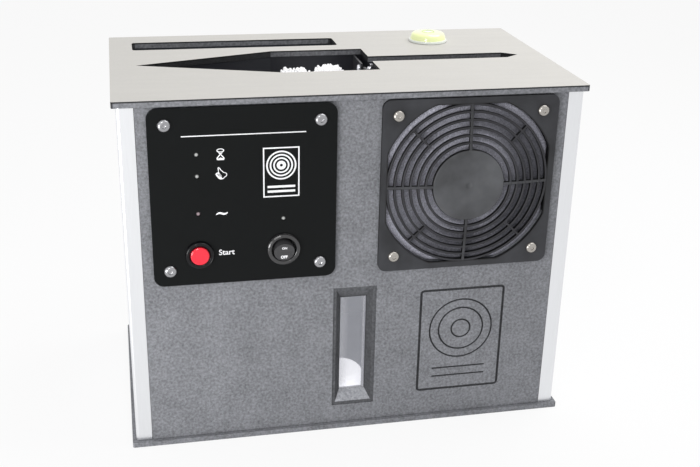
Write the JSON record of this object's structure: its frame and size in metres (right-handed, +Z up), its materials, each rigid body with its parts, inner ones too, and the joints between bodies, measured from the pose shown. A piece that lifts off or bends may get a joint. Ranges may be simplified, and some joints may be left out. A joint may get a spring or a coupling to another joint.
{
  "type": "record cleaning machine",
  "caption": "Boxed washing machine for vinyl records with a slot on top, brush rollers, a control panel, a fan behind a round grille and a tank window.",
  "frame": {"origin": "centre of the base plate's underside, on the table", "axes": "+X to the machine's right as seen from its front, +Y to its back, +Z up; the front faces -Y"},
  "size_m": [0.331, 0.197, 0.2708],
  "materials": {
    "mottled_grey_board": "mottled grey, fine speckle, matt",
    "silver_sheet": "satin",
    "clear_acrylic": "clear",
    "stainless_steel": "turned",
    "gloss_black": "polished black",
    "black_plastic": "smooth black",
    "red_plastic": "smooth red",
    "dark_lamp": "smoked lens",
    "circuit_board": "green solder mask",
    "satin_black_plastic": "satin",
    "grey_foam": "open-cell foam",
    "fan_plastic": "satin",
    "dark_basin_plastic": "smooth dark",
    "white_microfibre": "fluffy white pile",
    "machined_steel": "turned",
    "aluminium": "turned",
    "black_rubber": "matt",
    "dark_bracket_metal": "dark satin",
    "grey_tank_plastic": "satin grey",
    "white_filter": "white",
    "pump_plastic": "dark",
    "hose_silicone": "translucent grey",
    "trough_plastic": "dark satin",
    "supply_case": "satin",
    "inlet_plastic": "black",
    "green_level": "translucent yellow-green"
  },
  "bodies": {
    "machine": {"base_plate": "mottled_grey_board", "bubble_level": "green_level", "control_board": "circuit_board", "control_panel": "gloss_black", "drain_valve": "pump_plastic", "fan_filter": "grey_foam", "fan_guard": "satin_black_plastic", "fan_housing": "fan_plastic", "fill_lamp": "dark_lamp", "fill_trough": "trough_plastic", "filter_cartridge": "white_filter", "front_panel": "mottled_grey_board", "gear_case": "dark_basin_plastic", "guard_screw_1": "stainless_steel", "guard_screw_2": "stainless_steel", "guard_screw_3": "stainless_steel", "guard_screw_4": "stainless_steel", "panel_screw_1": "stainless_steel", "panel_screw_2": "stainless_steel", "panel_screw_3": "stainless_steel", "panel_screw_4": "stainless_steel", "power_inlet": "inlet_plastic", "power_lamp": "dark_lamp", "power_supply": "supply_case", "power_switch_body": "black_plastic", "ready_lamp": "dark_lamp", "rear_panel": "mottled_grey_board", "record_drive_motor": "aluminium", "record_guide_front": "dark_bracket_metal", "record_guide_rear": "dark_bracket_metal", "roller_motor": "aluminium", "side_shell_left": "silver_sheet", "side_shell_right": "silver_sheet", "start_switch_body": "black_plastic", "supply_hose": "hose_silicone", "support_axle": "machined_steel", "tank_lid": "grey_tank_plastic", "top_plate": "mottled_grey_board", "transducer_front": "aluminium", "transducer_rear": "aluminium", "wash_basin": "dark_basin_plastic", "water_pump": "pump_plastic", "water_tank": "grey_tank_plastic", "wave_lamp": "dark_lamp", "window_pane": "clear_acrylic"},
    "start_button": {"start_button": "red_plastic"},
    "power_rocker": {"power_rocker": "black_plastic"},
    "fan_rotor": {"fan_rotor": "fan_plastic"},
    "drive_pinion": {"drive_pinion": "machined_steel"},
    "record_drive_wheel": {"record_drive_wheel": "black_rubber"},
    "support_wheel": {"support_wheel": "black_rubber"},
    "roller_front_left": {"roller_spindle_front_left": "machined_steel", "roller_sleeve_front_left": "white_microfibre"},
    "roller_front_right": {"roller_spindle_front_right": "machined_steel", "roller_sleeve_front_right": "white_microfibre"},
    "roller_rear_left": {"roller_spindle_rear_left": "machined_steel", "roller_sleeve_rear_left": "white_microfibre"},
    "roller_rear_right": {"roller_spindle_rear_right": "machined_steel", "roller_sleeve_rear_right": "white_microfibre"}
  },
  "joints": [
    {"name": "start_press", "type": "slide", "parent": "machine", "child": "start_button", "axis": [0, 1, 0], "range_m": [0, 0.0015], "stiffness_N_per_m": 400},
    {"name": "power_rock", "type": "hinge", "parent": "machine", "child": "power_rocker", "pos_m": [-0.053, -0.0948, 0.1524], "axis": [-1, 0, 0], "range_deg": [0, 30]},
    {"name": "fan_spin", "type": "hinge", "parent": "machine", "child": "fan_rotor", "pos_m": [0.0797, -0.0926, 0.1931], "axis": [0, 1, 0], "continuous": true},
    {"name": "roller_front_left_spin", "type": "hinge", "parent": "machine", "child": "roller_front_left", "pos_m": [-0.0273, -0.013, 0.1629], "axis": [0, 0, 1], "continuous": true},
    {"name": "roller_front_right_spin", "type": "hinge", "parent": "machine", "child": "roller_front_right", "pos_m": [-0.0013, -0.013, 0.1629], "axis": [0, 0, 1], "continuous": true},
    {"name": "roller_rear_left_spin", "type": "hinge", "parent": "machine", "child": "roller_rear_left", "pos_m": [-0.0273, 0.013, 0.1629], "axis": [0, 0, 1], "continuous": true},
    {"name": "roller_rear_right_spin", "type": "hinge", "parent": "machine", "child": "roller_rear_right", "pos_m": [-0.0013, 0.013, 0.1629], "axis": [0, 0, 1], "continuous": true},
    {"name": "pinion_spin", "type": "hinge", "parent": "machine", "child": "drive_pinion", "pos_m": [-0.0481, -0.013, 0.147], "axis": [0, 0, 1], "continuous": true},
    {"name": "drive_wheel_spin", "type": "hinge", "parent": "machine", "child": "record_drive_wheel", "pos_m": [0.11099, 0, 0.20287], "axis": [0, 1, 0], "continuous": true},
    {"name": "support_wheel_spin", "type": "hinge", "parent": "machine", "child": "support_wheel", "pos_m": [-0.11099, 0, 0.20287], "axis": [0, 1, 0], "continuous": true}
  ],
  "couplings": [
    {"joint": "roller_front_right_spin", "follows": "roller_front_left_spin", "ratio": -1},
    {"joint": "roller_rear_left_spin", "follows": "roller_front_left_spin", "ratio": -1},
    {"joint": "roller_rear_right_spin", "follows": "roller_front_left_spin", "ratio": 1},
    {"joint": "pinion_spin", "follows": "roller_front_left_spin", "ratio": -1.6667}
  ]
}
